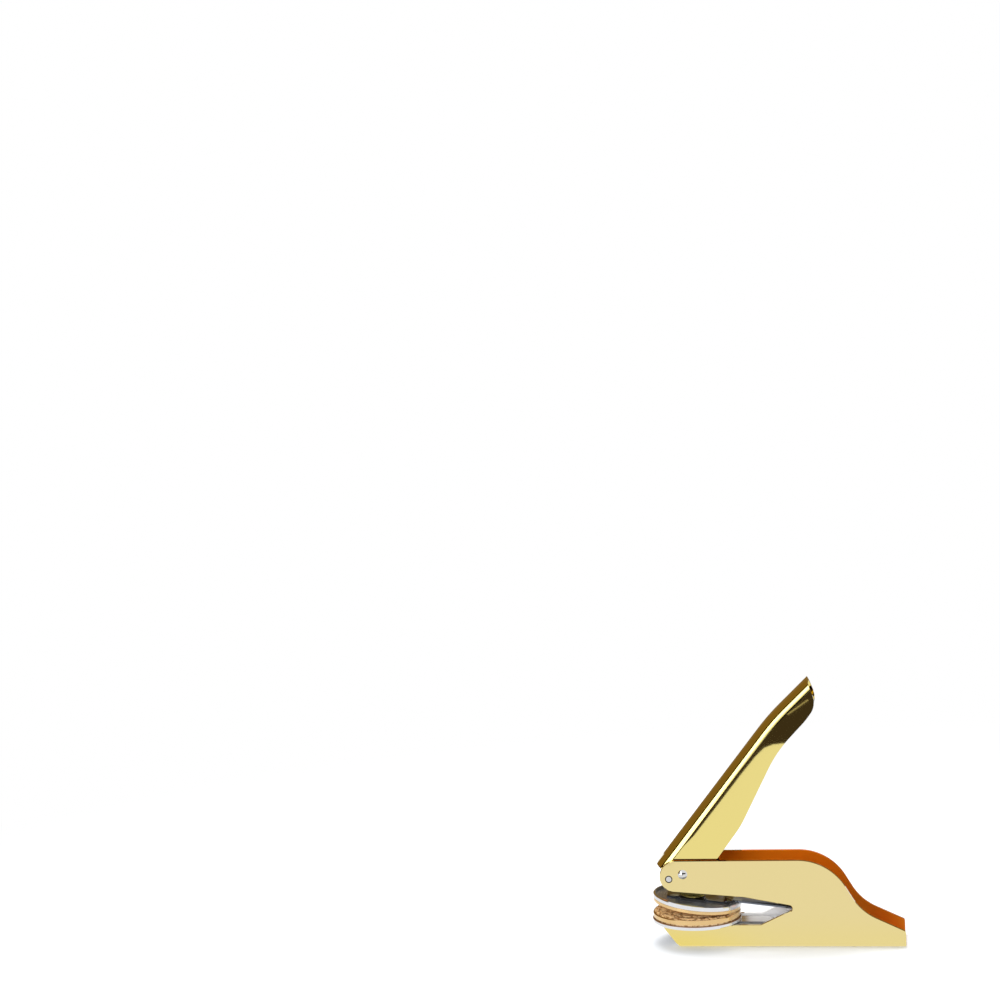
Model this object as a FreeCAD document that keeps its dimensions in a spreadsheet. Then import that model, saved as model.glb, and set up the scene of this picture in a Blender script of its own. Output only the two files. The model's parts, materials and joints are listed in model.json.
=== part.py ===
"""Hand-held seal embosser: folded body, eccentric lever press and a removable two-die cassette.

Millimetres, +Z up, +X towards the tail. The origin is the centre of the flat underside of the body.
The lever is modelled along its own X axis from the pivot, and the upper die in the frame of its tilt.
"""

import FreeCAD, Part
import math
import os
from types import SimpleNamespace

import Sketcher

V = FreeCAD.Vector
Y_AXIS = V(0, 1, 0)

DIMENSIONS = {
    # folded body, side outline (runs are measured from the front end)
    "body_length": 119.6,
    "body_height": 43.6,
    "inner_width": 19.5,
    "body_sheet": 2.5,
    "body_bend": 3.2,
    "tail_height": 8.0,
    "foot_run": 98.4,
    "foot_height": 17.9,
    "shoulder_run": 83.5,
    "foot_round": 25.6,
    "shoulder_round": 26.4,
    "jaw_height": 11.3,
    "jaw_undercut": 8.5,
    "corner_round": 1.0,
    "mouth_height": 28.7,
    "kink_run": 41.9,
    "kink_height": 25.35,
    "kink_round": 40.0,
    "throat_run": 68.2,
    "throat_height": 20.35,
    "throat_round": 1.5,
    "throat_floor_run": 49.2,
    "edge_break": 0.3,
    # lever pivot and stop
    "pivot_run": 11.5,
    "pivot_radius": 1.9,
    "pivot_head_radius": 2.35,
    "pivot_head_height": 0.9,
    "running_fit": 0.05,
    "sleeve_wall": 1.1,
    "washer_radius": 4.0,
    "stop_distance": 7.4,
    "stop_angle": 18.9,
    "stop_radius": 1.35,
    "stop_ring": 0.5,
    "stop_ring_depth": 0.5,
    "lever_swing": 46.0,
    # lever
    "lever_rise": 52.8,
    "lever_width": 18.5,
    "lever_sheet": 2.0,
    "lever_bend": 5.0,
    "spine_low": 12.95,
    "spine_high": 10.7,
    "lever_heel": 5.0,
    "spine_turn_run": 88.0,
    "spine_turn_round": 120.0,
    "tip_run": 115.2,
    "tip_height": 6.3,
    "grip_end_run": 108.1,
    "grip_end_round": 9.5,
    "grip_drop": 4.85,
    "grip_start_run": 98.5,
    "grip_start_round": 40.0,
    "neck_run": 77.6,
    "neck_drop": 2.4,
    "neck_round": 66.0,
    "root_run": 36.5,
    "root_drop": 9.5,
    "root_round": 50.0,
    "boss_radius": 10.35,
    # eccentric cams
    "cam_radius": 12.92,
    "cam_offset": 4.6,
    "cam_lag": 3.0,
    "cam_gap": 0.35,
    "cam_setback": 0.5,
    "cheek_thickness": 2.5,
    "cam_rivet_radius": 1.25,
    "cam_rivet_distance": 8.5,
    "cam_rivet_spread": 35.0,
    # die holders and dies
    "disc_run": 16.75,
    "disc_radius": 22.25,
    "holder_wall": 1.2,
    "holder_chamfer": 0.4,
    "cup_clearance": 0.05,
    "lower_floor": 1.0,
    "lower_cup_height": 1.95,
    "neck_height": 0.7,
    "seat_thickness": 0.2,
    "die_fit": 0.05,
    "lip_setback": 0.35,
    "lip_chamfer": 0.4,
    "lower_lip": 2.2,
    "upper_lip": 1.75,
    "upper_plug": 0.2,
    "upper_floor": 0.6,
    "dish_depth": 1.2,
    "face_gap": 0.2,
    "die_tilt": 6.9,
    "hinge_setback": 2.8,
    "ring_inset": 3.7,
    "ring_pitch": 4.6,
    "ring_width": 0.8,
    "ring_height": 0.35,
    "ring_clearance": 0.25,
    "bead_row_inset": 1.55,
    "bead_row_width": 1.4,
    "emblem_inset": 12.9,
    # spring strip
    "leaf_width": 10.5,
    "leaf_thickness": 0.8,
    "leaf_reach": 15.0,
    "bow_radius": 1.75,
    "joggle_start": 13.0,
    "joggle_end": 18.0,
    "joggle_bend": 2.0,
    "rim_clearance": 0.1,
    "leaf_rivet_radius": 1.2,
    "lower_rivet_spacing": 16.0,
    "upper_rivet_spacing": 7.0,
    "rivet_fit": 0.02,
    # pressure saddle
    "saddle_forward": 2.2,
    "saddle_length": 12.0,
    "saddle_width": 16.0,
    "saddle_height": 1.2,
    "saddle_clearance": 0.1,
    # rail and runners in the lower jaw
    "rail_front_run": 11.8,
    "rail_length": 90.0,
    "rail_sheet": 1.2,
    "rail_crown": 11.2,
    "rail_bend": 1.6,
    "rail_rivet_radius": 1.2,
    "rail_rivet_inset": 8.0,
    "countersink": 0.9,
    "closing_head_radius": 1.8,
    "closing_head_height": 0.7,
    "runner_length": 28.0,
    "runner_width": 1.5,
    "runner_height": 3.0,
    "runner_clearance": 0.15,
    # detent under the rail
    "detent_run": 52.0,
    "detent_length": 22.0,
    "detent_width": 6.0,
    "detent_thickness": 0.6,
    "detent_inset": 4.0,
    "button_radius": 1.5,
    "button_dome": 0.3,
    "button_clearance": 0.3,
}


class Size:
    """A number together with the sheet expression that it comes from."""

    def __init__(self, value, text):
        self.value = value
        self.text = text

    def joined(self, other, sign, swapped=False):
        first, second = (other, self) if swapped else (self, other)
        first, second = as_size(first), as_size(second)
        value = {
            "+": lambda a, b: a + b,
            "-": lambda a, b: a - b,
            "*": lambda a, b: a * b,
            "/": lambda a, b: a / b,
        }[sign](first.value, second.value)
        return Size(value, f"({first.text} {sign} {second.text})")

    def __add__(self, other):
        return self.joined(other, "+")

    def __sub__(self, other):
        return self.joined(other, "-")

    def __mul__(self, other):
        return self.joined(other, "*")

    def __truediv__(self, other):
        return self.joined(other, "/")

    def __radd__(self, other):
        return self.joined(other, "+", True)

    def __rsub__(self, other):
        return self.joined(other, "-", True)

    def __rmul__(self, other):
        return self.joined(other, "*", True)

    def __neg__(self):
        return 0 - self


def as_size(number):
    return number if isinstance(number, Size) else Size(float(number), repr(float(number)))


def sine(angle):
    return Size(math.sin(math.radians(angle.value)), f"sin({angle.text})")


def cosine(angle):
    return Size(math.cos(math.radians(angle.value)), f"cos({angle.text})")


doc = FreeCAD.newDocument("seal_embosser")
sheet = doc.addObject("Spreadsheet::Sheet", "sizes")
for row, (alias, number) in enumerate(DIMENSIONS.items(), start=1):
    sheet.set(f"A{row}", alias)
    sheet.set(f"B{row}", str(number))
    sheet.setAlias(f"B{row}", alias)
doc.recompute()
d = SimpleNamespace(**{alias: Size(float(sheet.get(alias)), f"sizes.{alias}") for alias in DIMENSIONS})
nodes = {}


# ---------------------------------------------------------------- modelling helpers


def bind(thing, **rules):
    """Ties properties of an object to the sheet."""
    for key, rule in rules.items():
        thing.setExpression(key, as_size(rule).text)


def place(thing, x=0, y=0, z=0, turn=None):
    """Puts an object at a point worked out from the sheet, turned about the Y axis."""
    degrees = as_size(turn if turn is not None else 0)
    base = [as_size(v) for v in (x, y, z)]
    thing.Placement = FreeCAD.Placement(V(*[v.value for v in base]), FreeCAD.Rotation(Y_AXIS, degrees.value))
    for letter, rule in zip("xyz", base):
        thing.setExpression(f"Placement.Base.{letter}", rule.text)
    if turn is not None:
        thing.setExpression("Placement.Rotation.Angle", degrees.text)


def node(thing, name):
    """Names a finished sub-part."""
    thing.Label = name
    nodes[name] = thing
    return thing


def new_body(name):
    return node(new_tool_body(name + "_body"), name)


def new_tool_body(name):
    """A body that only shapes another sub-part."""
    return doc.addObject("PartDesign::Body", name)


def new_sketch(body, name, role, shift_x=0, shift_y=0, shift_out=0):
    sketch = body.newObject("Sketcher::SketchObject", name)
    plane = next(item for item in body.Origin.OriginFeatures if item.Role == role)
    sketch.AttachmentSupport = [(plane, "")]
    sketch.MapMode = "FlatFace"
    for letter, rule in zip("xyz", (shift_x, shift_y, shift_out)):
        sketch.setExpression(f"AttachmentOffset.Base.{letter}", as_size(rule).text)
    return sketch


def hold(sketch, geometry, vertex, x, y):
    """Fixes a vertex by two dimensions from the sketch's origin."""
    for kind, rule in (("DistanceX", as_size(x)), ("DistanceY", as_size(y))):
        index = sketch.addConstraint(Sketcher.Constraint(kind, -1, 1, geometry, vertex, rule.value))
        sketch.setExpression(f"Constraints[{index}]", rule.text)


def draw_outline(sketch, corners):
    """A closed outline of straight lines through corners that follow the sheet."""
    points = [V(as_size(x).value, as_size(y).value, 0) for x, y in corners]
    count = len(points)
    first = sketch.GeometryCount
    for index in range(count):
        sketch.addGeometry(Part.LineSegment(points[index], points[(index + 1) % count]))
    for index in range(count):
        following = first + (index + 1) % count
        sketch.addConstraint(Sketcher.Constraint("Coincident", first + index, 2, following, 1))
    for index, (x, y) in enumerate(corners):
        hold(sketch, first + index, 1, x, y)


def draw_circle(sketch, x, y, radius):
    radius = as_size(radius)
    centre = V(as_size(x).value, as_size(y).value, 0)
    geometry = sketch.addGeometry(Part.Circle(centre, V(0, 0, 1), radius.value))
    hold(sketch, geometry, 3, x, y)
    index = sketch.addConstraint(Sketcher.Constraint("Radius", geometry, radius.value))
    sketch.setExpression(f"Constraints[{index}]", radius.text)


def pad(body, sketch, length):
    """Material to both sides of the sketch."""
    feature = body.newObject("PartDesign::Pad", sketch.Name + "_pad")
    feature.Profile = sketch
    feature.SideType = "Symmetric"
    bind(feature, Length=length)
    doc.recompute()
    return feature


def pocket(body, sketch, length, side="Symmetric", backwards=False):
    """Removes material, and stops if there was none to remove."""
    before = body.Shape.Volume
    feature = body.newObject("PartDesign::Pocket", sketch.Name + "_cut")
    feature.Profile = sketch
    feature.SideType = side
    feature.Reversed = backwards
    bind(feature, Length=length)
    doc.recompute()
    if not body.Shape.Volume < before:
        raise RuntimeError(f"{feature.Name} removes nothing")
    return feature


def revolve(body, sketch):
    feature = body.newObject("PartDesign::Revolution", sketch.Name + "_turned")
    feature.Profile = sketch
    feature.ReferenceAxis = (sketch, ["V_Axis"])
    feature.Angle = 360.0
    doc.recompute()
    return feature


def soften(body, radius, wanted, name, kind="Fillet"):
    """Rounds or chamfers the edges of the newest feature that the test picks."""
    last = body.Tip
    edges = [f"Edge{i}" for i, edge in enumerate(last.Shape.Edges, start=1) if wanted(edge)]
    if not edges:
        raise RuntimeError(f"{name} finds no edge")
    feature = body.newObject(f"PartDesign::{kind}", name)
    feature.Base = (last, edges)
    bind(feature, **{"Radius" if kind == "Fillet" else "Size": radius})
    doc.recompute()
    return feature


def near(a, b, slack=0.01):
    return abs(a - b) < slack


def crosswise_at(x, z):
    """Picks the edges that run across the width at one corner of a side outline."""
    x, z = as_size(x).value, as_size(z).value

    def wanted(edge):
        ends = [vertex.Point for vertex in edge.Vertexes]
        return len(ends) == 2 and all(near(p.x, x) and near(p.z, z) for p in ends)

    return wanted


def lengthwise_at(y, z):
    """Picks the straight edges that run along X at one height, on both sides of the middle."""
    y, z = as_size(y).value, as_size(z).value

    def wanted(edge):
        ends = [vertex.Point for vertex in edge.Vertexes]
        placed = len(ends) == 2 and all(near(p.z, z) and near(abs(p.y), y) for p in ends)
        return placed and near(edge.BoundBox.YLength, 0)

    return wanted


def cylinder(name, radius, height, x=0, y=0, z=0, across=False):
    """A round bar from a point along +Z, or along +Y when it lies across."""
    bar = doc.addObject("Part::Cylinder", name)
    bind(bar, Radius=radius, Height=height)
    place(bar, x, y, z)
    if across:
        bar.Placement = FreeCAD.Placement(bar.Placement.Base, FreeCAD.Rotation(V(1, 0, 0), -90))
    return bar


def box(name, length, width, height, x, y, z):
    block = doc.addObject("Part::Box", name)
    bind(block, Length=length, Width=width, Height=height)
    place(block, x, y, z)
    return block


def dome(name, radius, height, x, y, z, turned=None):
    """A cap of a sphere that stands on its flat side, along +Z unless it is turned about X."""
    radius, height = as_size(radius), as_size(height)
    sphere_radius = (radius * radius + height * height) / (2 * height)
    ratio = (sphere_radius - height) / sphere_radius
    cap = doc.addObject("Part::Sphere", name)
    cap.Angle1 = math.degrees(math.asin(ratio.value))
    cap.setExpression("Angle1", f"asin({ratio.text})")
    bind(cap, Radius=sphere_radius)
    sink = sphere_radius - height
    direction = {None: (0, 0, 1), 90: (0, -1, 0), -90: (0, 1, 0), 180: (0, 0, -1)}[turned]
    spot = [as_size(v) - sink * step if step else as_size(v) for v, step in zip((x, y, z), direction)]
    place(cap, *spot)
    cap.Placement = FreeCAD.Placement(cap.Placement.Base, FreeCAD.Rotation(V(1, 0, 0), turned or 0))
    return cap


def fuse(name, *shapes):
    joined = doc.addObject("Part::MultiFuse", name)
    joined.Shapes = list(shapes)
    return joined


def cut(name, base, *tools):
    rest = doc.addObject("Part::Cut", name)
    rest.Base = base
    rest.Tool = tools[0] if len(tools) == 1 else group(name + "_tools", *tools)
    return rest


def group(name, *members):
    several = doc.addObject("Part::Compound", name)
    several.Links = list(members)
    return several


def rounded_path(corners, radii):
    """Straight runs joined by tangent arcs: each inner corner is rounded by its radius."""
    pieces = []
    start = corners[0]
    for before, corner, after, radius in zip(corners, corners[1:], corners[2:], radii):
        back = (before - corner).normalize()
        ahead = (after - corner).normalize()
        half = back.getAngle(ahead) / 2
        reach = radius / math.tan(half)
        middle = corner + (back + ahead).normalize() * (radius / math.sin(half) - radius)
        first, last = corner + back * reach, corner + ahead * reach
        pieces.append(Part.LineSegment(start, first))
        pieces.append(Part.Arc(first, middle, last))
        start = last
    pieces.append(Part.LineSegment(start, corners[-1]))
    return pieces


# ---------------------------------------------------------------- places worked out from the sizes

front = -d.body_length / 2
outer_width = d.inner_width + d.body_sheet * 2
nose_round = (d.body_height - d.mouth_height) / 2
pivot_x = front + d.pivot_run
lever_inner = d.lever_width - d.lever_sheet * 2
cheek_inner = lever_inner / 2 - d.cheek_thickness

disc_x = front + d.disc_run
rail_top = d.jaw_height + d.cup_clearance - d.leaf_thickness
cup_bottom = rail_top + d.leaf_thickness
die_face = cup_bottom + d.lower_cup_height + d.neck_height + d.lower_lip
hinge_back = d.disc_radius + d.hinge_setback
hinge_x = disc_x + hinge_back
hinge_z = die_face + d.face_gap

# heights above the hinge in the frame of the tilt
cup_low = d.upper_lip
floor_low = cup_low + d.upper_plug + d.seat_thickness
floor_top = floor_low + d.upper_floor
rim_top = floor_top + d.dish_depth
saddle_top = floor_top + d.saddle_height
over_rim = rim_top + d.rim_clearance + d.leaf_thickness / 2

# the dies' lips, and the relief inwards from them
lip_radius = d.disc_radius - d.lip_setback
ring_radii = [lip_radius - d.ring_inset, lip_radius - d.ring_inset - d.ring_pitch]
bead_row_radius = lip_radius - d.bead_row_inset

# the pivot stands as high as the cams need to just miss the saddle when the press is open
cam_x = pivot_x + d.cam_offset * cosine(d.cam_lag)
cam_rise = d.cam_radius + d.cam_gap + saddle_top - (cam_x - hinge_x) * sine(d.die_tilt)
pivot_z = hinge_z + cam_rise / cosine(d.die_tilt) + d.cam_offset * sine(d.cam_lag)

# the cam's centre along the lever and square to it
cam_turn = d.lever_rise + d.cam_lag
cam_along = d.cam_offset * cosine(cam_turn)
cam_drop = d.cam_offset * sine(cam_turn)


def on_lever(thing):
    place(thing, pivot_x, 0, pivot_z, -d.lever_rise)


def on_hinge(thing):
    place(thing, hinge_x, 0, hinge_z, d.die_tilt)


# ---------------------------------------------------------------- body


def make_frame_channel():
    """Sheet folded to a U: two shaped walls on a flat web, with the throat cut through both walls."""
    body = new_body("frame_channel")
    rear = front + d.body_length
    corners = {
        "jaw_tip": (front, d.jaw_height),
        "jaw_root": (front + d.jaw_undercut, 0),
        "heel": (rear, 0),
        "tail": (rear, d.tail_height),
        "foot": (front + d.foot_run, d.foot_height),
        "shoulder": (front + d.shoulder_run, d.body_height),
        "nose_top": (front, d.body_height),
        "nose_low": (front, d.mouth_height),
        "kink": (front + d.kink_run, d.kink_height),
        "throat": (front + d.throat_run, d.throat_height),
        "throat_floor": (front + d.throat_floor_run, d.jaw_height),
    }
    side = new_sketch(body, "wall_outline", "XZ_Plane")
    draw_outline(side, list(corners.values()))
    pad(body, side, outer_width)
    rounds = (
        (nose_round, "nose_top"),
        (nose_round, "nose_low"),
        (d.shoulder_round, "shoulder"),
        (d.foot_round, "foot"),
        (d.kink_round, "kink"),
        (d.throat_round, "throat"),
        (d.corner_round, "jaw_tip"),
        (d.corner_round, "tail"),
    )
    for radius, name in rounds:
        soften(body, radius, crosswise_at(*corners[name]), name + "_round")

    soften(body, d.body_bend, lengthwise_at(outer_width / 2, 0), "outer_bend")
    hollow = new_sketch(body, "hollow", "YZ_Plane")
    half = d.inner_width / 2
    above = d.body_height + d.body_sheet
    draw_outline(hollow, [(-half, d.body_sheet), (half, d.body_sheet), (half, above), (-half, above)])
    pocket(body, hollow, d.body_length * 2)
    soften(body, d.body_bend - d.body_sheet, lengthwise_at(half, d.body_sheet), "inner_bend")
    break_edges(body)
    holes = new_sketch(body, "wall_holes", "XZ_Plane")
    draw_circle(holes, pivot_x, pivot_z, d.pivot_radius)
    draw_circle(holes, stop_x(), stop_z(), d.stop_radius)
    pocket(body, holes, outer_width * 2)
    for name, out, backwards in (("near_ring", outer_width / 2, False), ("far_ring", -outer_width / 2, True)):
        ring = new_sketch(body, name, "XZ_Plane", shift_out=out)
        draw_circle(ring, stop_x(), stop_z(), d.stop_radius + d.stop_ring)
        pocket(body, ring, d.stop_ring_depth, "One side", backwards)
    web = new_sketch(body, "web_holes", "XY_Plane")
    for x, y in rail_rivet_places():
        draw_circle(web, x, y, d.rail_rivet_radius)
    pocket(body, web, d.body_sheet * 4)

    def hole_mouth(edge):
        return near(edge.BoundBox.ZMax, 0) and near(edge.BoundBox.XLength, d.rail_rivet_radius.value * 2)

    soften(body, d.countersink, hole_mouth, "countersinks", "Chamfer")


def break_edges(body):
    """Breaks the long outer edges of both walls, apart from the bend along the base."""
    half = outer_width.value / 2
    lowest = (d.body_bend + d.edge_break).value

    def wanted(edge):
        span = edge.BoundBox
        on_wall = near(abs(span.YMin), half) and near(span.YLength, 0)
        return on_wall and span.ZMin > lowest and not near(span.XMin, front.value)

    soften(body, d.edge_break, wanted, "wall_edges", "Chamfer")


def stop_x():
    return pivot_x - d.stop_distance * cosine(d.stop_angle)


def stop_z():
    return pivot_z - d.stop_distance * sine(d.stop_angle)


def make_pivot():
    """Domed rivet through both walls, with the sleeve and the washers that ride on it."""
    half = outer_width / 2
    shank = cylinder("pivot_shank", d.pivot_radius, outer_width, pivot_x, -half, pivot_z, True)
    heads = [
        dome(name, d.pivot_head_radius, d.pivot_head_height, pivot_x, y, pivot_z, turned)
        for name, y, turned in (
            ("near_head", -half, 90),
            ("far_head", half, -90),
        )
    ]
    node(fuse("pivot", shank, *heads), "pivot_rivet")
    long = (cheek_inner - d.running_fit) * 2
    hole = d.pivot_radius + d.running_fit
    tube = cylinder("tube", hole + d.sleeve_wall, long, pivot_x, -long / 2, pivot_z, True)
    bore = cylinder("tube_bore", hole, long, pivot_x, -long / 2, pivot_z, True)
    node(cut("sleeve", tube, bore), "pivot_sleeve")
    gap = (d.inner_width - d.lever_width) / 2
    thickness = gap - d.running_fit * 2
    washers = []
    seats = (("near", -d.inner_width / 2 + d.running_fit), ("far", d.lever_width / 2 + d.running_fit))
    for name, y in seats:
        ring = cylinder(name + "_ring", d.washer_radius, thickness, pivot_x, y, pivot_z, True)
        eye = cylinder(name + "_eye", hole, thickness, pivot_x, y, pivot_z, True)
        washers.append(cut(name + "_washer", ring, eye))
    node(group("washers", *washers), "pivot_washers")


def make_stop_pins():
    """A stud in each wall that ends inside the lever's slot, short of the cam cheek."""
    long = outer_width / 2 - lever_inner / 2 - d.running_fit
    pins = [
        cylinder(name, d.stop_radius, long, stop_x(), y, stop_z(), True)
        for name, y in (("near_stop", -outer_width / 2), ("far_stop", outer_width / 2 - long))
    ]
    node(group("stops", *pins), "stop_pins")


def rail_rivet_places():
    brim = (d.rail_crown / 2 + d.inner_width / 2) / 2
    low = front + d.rail_front_run + d.rail_rivet_inset
    high = front + d.rail_front_run + d.rail_length - d.rail_rivet_inset
    return [(x, y) for x in (low, high) for y in (-brim, brim)]


def make_slide_rail():
    """Pressed hat rail: its crown carries the lower leaf, and its brims lie on the web."""
    body = new_body("slide_rail")
    middle = front + d.rail_front_run + d.rail_length / 2
    section = new_sketch(body, "hat", "YZ_Plane", shift_out=middle)
    wide = d.inner_width / 2 - (d.body_bend - d.body_sheet)
    crown = d.rail_crown / 2
    floor = d.body_sheet
    inside = crown - d.rail_sheet
    brim = floor + d.rail_sheet
    under = rail_top - d.rail_sheet
    half = [(crown, rail_top), (crown, brim), (wide, brim), (wide, floor), (inside, floor), (inside, under)]
    draw_outline(section, half + [(-y, z) for y, z in reversed(half)])
    pad(body, section, d.rail_length)
    soften(body, d.rail_bend, lengthwise_at(crown, rail_top), "crown_bend")
    holes = new_sketch(body, "rail_holes", "XY_Plane")
    for x, y in rail_rivet_places():
        draw_circle(holes, x, y, d.rail_rivet_radius)
    draw_circle(holes, button_x(), 0, d.button_radius + d.button_clearance)
    draw_circle(holes, detent_rivet_x(), 0, d.rail_rivet_radius)
    pocket(body, holes, d.body_height)


def make_rail_rivets():
    """Countersunk under the web and closed over the brim."""
    rivets = []
    for index, (x, y) in enumerate(rail_rivet_places()):
        top = d.body_sheet + d.rail_sheet
        shank = cylinder(f"rail_shank_{index}", d.rail_rivet_radius, top, x, y, 0)
        sunk = doc.addObject("Part::Cone", f"rail_sunk_{index}")
        wide = d.rail_rivet_radius + d.countersink
        bind(sunk, Radius1=wide, Radius2=d.rail_rivet_radius, Height=d.countersink)
        place(sunk, x, y, 0)
        head = dome(f"rail_head_{index}", d.closing_head_radius, d.closing_head_height, x, y, top)
        rivets.append(fuse(f"rail_rivet_{index}", shank, sunk, head))
    node(group("rail_rivet_group", *rivets), "rail_rivets")


def button_x():
    return front + d.detent_run + d.detent_inset


def detent_rivet_x():
    return front + d.detent_run + d.detent_length - d.detent_inset


def make_detent():
    """Spring strip under the rail's crown, with a round button that presses the lower leaf."""
    under = rail_top - d.rail_sheet
    low = under - d.detent_thickness
    start = front + d.detent_run
    strip = box("strip", d.detent_length, d.detent_width, d.detent_thickness, start, -d.detent_width / 2, low)
    button_top = rail_top - d.running_fit
    stem = cylinder("stem", d.button_radius, button_top - d.button_dome - low, button_x(), 0, low)
    cap = dome("button", d.button_radius, d.button_dome, button_x(), 0, button_top - d.button_dome)
    eye = cylinder("strip_eye", d.rail_rivet_radius, d.detent_thickness, detent_rivet_x(), 0, low)
    node(cut("detent", fuse("strip_and_button", strip, stem, cap), eye), "detent_spring")
    long = rail_top - d.running_fit - low
    shank = cylinder("detent_shank", d.rail_rivet_radius, long, detent_rivet_x(), 0, low)
    head = dome("detent_head", d.closing_head_radius, d.closing_head_height, detent_rivet_x(), 0, low, 180)
    node(fuse("detent_rivet_solid", shank, head), "detent_rivet")


# ---------------------------------------------------------------- lever


def cam_rivet_places():
    """Two rivets in each cheek, below the cam's centre and away from the stop slot."""
    spots = []
    for swing in (-90 - d.cam_rivet_spread, -90 + d.cam_rivet_spread):
        along = cam_along + d.cam_rivet_distance * cosine(swing)
        spots.append((along, d.cam_rivet_distance * sine(swing) - cam_drop))
    return spots


def make_lever():
    """Sheet folded to an inverted U: a spine with two side plates that swell into the grip."""
    plates = new_tool_body("lever_plates")
    tip = (d.tip_run, d.tip_height)
    over_tip = (d.tip_run * 1.5 - d.grip_end_run / 2, d.tip_height * 1.5 + d.grip_drop / 2)
    corners = {
        "over_heel": (-d.lever_heel, d.spine_low + d.lever_bend),
        "over_tip": over_tip,
        "grip_end": (d.grip_end_run, -d.grip_drop),
        "grip_start": (d.grip_start_run, -d.grip_drop),
        "neck": (d.neck_run, -d.neck_drop),
        "root": (d.root_run, -d.root_drop),
        "inside_cam": (cam_along, -d.root_drop),
        "inside_boss": (-d.lever_heel, 0),
    }
    side = new_sketch(plates, "arm_outline", "XZ_Plane")
    draw_outline(side, list(corners.values()))
    pad(plates, side, d.lever_width)
    rounds = (
        (d.grip_end_round, "grip_end"),
        (d.grip_start_round, "grip_start"),
        (d.neck_round, "neck"),
        (d.root_round, "root"),
    )
    for radius, name in rounds:
        soften(plates, radius, crosswise_at(*corners[name]), name + "_round")
    boss = new_sketch(plates, "boss", "XZ_Plane")
    draw_circle(boss, 0, 0, d.boss_radius)
    pad(plates, boss, d.lever_width)
    eccentric = new_sketch(plates, "cam_end", "XZ_Plane")
    draw_circle(eccentric, cam_along, -cam_drop, d.cam_radius - d.cam_setback)
    pad(plates, eccentric, d.lever_width)
    holes = new_sketch(plates, "lever_holes", "XZ_Plane")
    draw_circle(holes, 0, 0, d.pivot_radius + d.running_fit)
    for x, z in cam_rivet_places():
        draw_circle(holes, x, z, d.cam_rivet_radius)
    pocket(plates, holes, d.lever_width * 2)
    slot = new_sketch(plates, "stop_slot", "XZ_Plane")
    draw_stop_slot(slot)
    pocket(plates, slot, d.lever_width * 2)
    outer = make_fold("lever_outside", tip, d.lever_width, 0, d.lever_bend)
    inner = make_fold("lever_inside", tip, lever_inner, d.lever_sheet, d.lever_bend - d.lever_sheet)
    folded = doc.addObject("Part::Common", "folded_plates")
    folded.Base = plates
    folded.Tool = outer
    on_lever(node(cut("folded_lever", folded, inner), "lever"))


def make_fold(name, tip, width, inset, bend):
    """The bent channel's outer or inner form: a spine line with a turn in it and two rounded corners."""
    first = (d.spine_high - d.spine_low) / (d.spine_turn_run + d.lever_heel)
    second = (tip[1] - d.spine_high) / (tip[0] - d.spine_turn_run)
    away = d.boss_radius + d.cam_radius
    corners = {
        "near_top": (-away, d.spine_low - inset - first * (away - d.lever_heel)),
        "turn": (d.spine_turn_run, d.spine_high - inset),
        "far_top": (tip[0] + away, tip[1] - inset + second * away),
        "far_low": (tip[0] + away, -away),
        "near_low": (-away, -away),
    }
    body = new_tool_body(name)
    outline = new_sketch(body, name + "_outline", "XZ_Plane")
    draw_outline(outline, list(corners.values()))
    pad(body, outline, width)
    soften(body, d.spine_turn_round - inset, crosswise_at(*corners["turn"]), name + "_turn")
    top = [corners[corner] for corner in ("near_top", "turn", "far_top")]
    soften(body, bend, spine_picker(top, as_size(width).value / 2), name + "_bend")
    return body


def spine_picker(line, across):
    """Picks the edges along a bent line of the side outline, at one distance from the middle."""
    points = [V(as_size(x).value, 0, as_size(z).value) for x, z in line]
    lines = list(zip(points, points[1:]))
    inside_turn = d.lever_sheet.value / 2

    def wanted(edge):
        span = edge.BoundBox
        if not (near(span.YLength, 0) and near(abs(span.YMin), across)):
            return False
        middle = edge.valueAt((edge.FirstParameter + edge.LastParameter) / 2)
        flat = V(middle.x, 0, middle.z)
        return min(flat.distanceToLine(a, b - a) for a, b in lines) < inside_turn

    return wanted


def draw_stop_slot(sketch):
    """Arc slot about the pivot, as long as the lever's swing."""
    half = (d.stop_radius + d.running_fit * 2).value
    middle = d.stop_distance.value
    start = 180 + (d.stop_angle - d.lever_rise).value
    angles = [math.radians(start), math.radians(start + d.lever_swing.value)]
    up = V(0, 0, 1)
    for radius in (middle - half, middle + half):
        sketch.addGeometry(Part.ArcOfCircle(Part.Circle(V(0, 0, 0), up, radius), *angles))
    for angle, turn in zip(angles, (math.pi, 0)):
        centre = V(math.cos(angle), math.sin(angle), 0) * middle
        end = Part.Circle(centre, up, half)
        sketch.addGeometry(Part.ArcOfCircle(end, angle + turn, angle + turn + math.pi))


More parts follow.
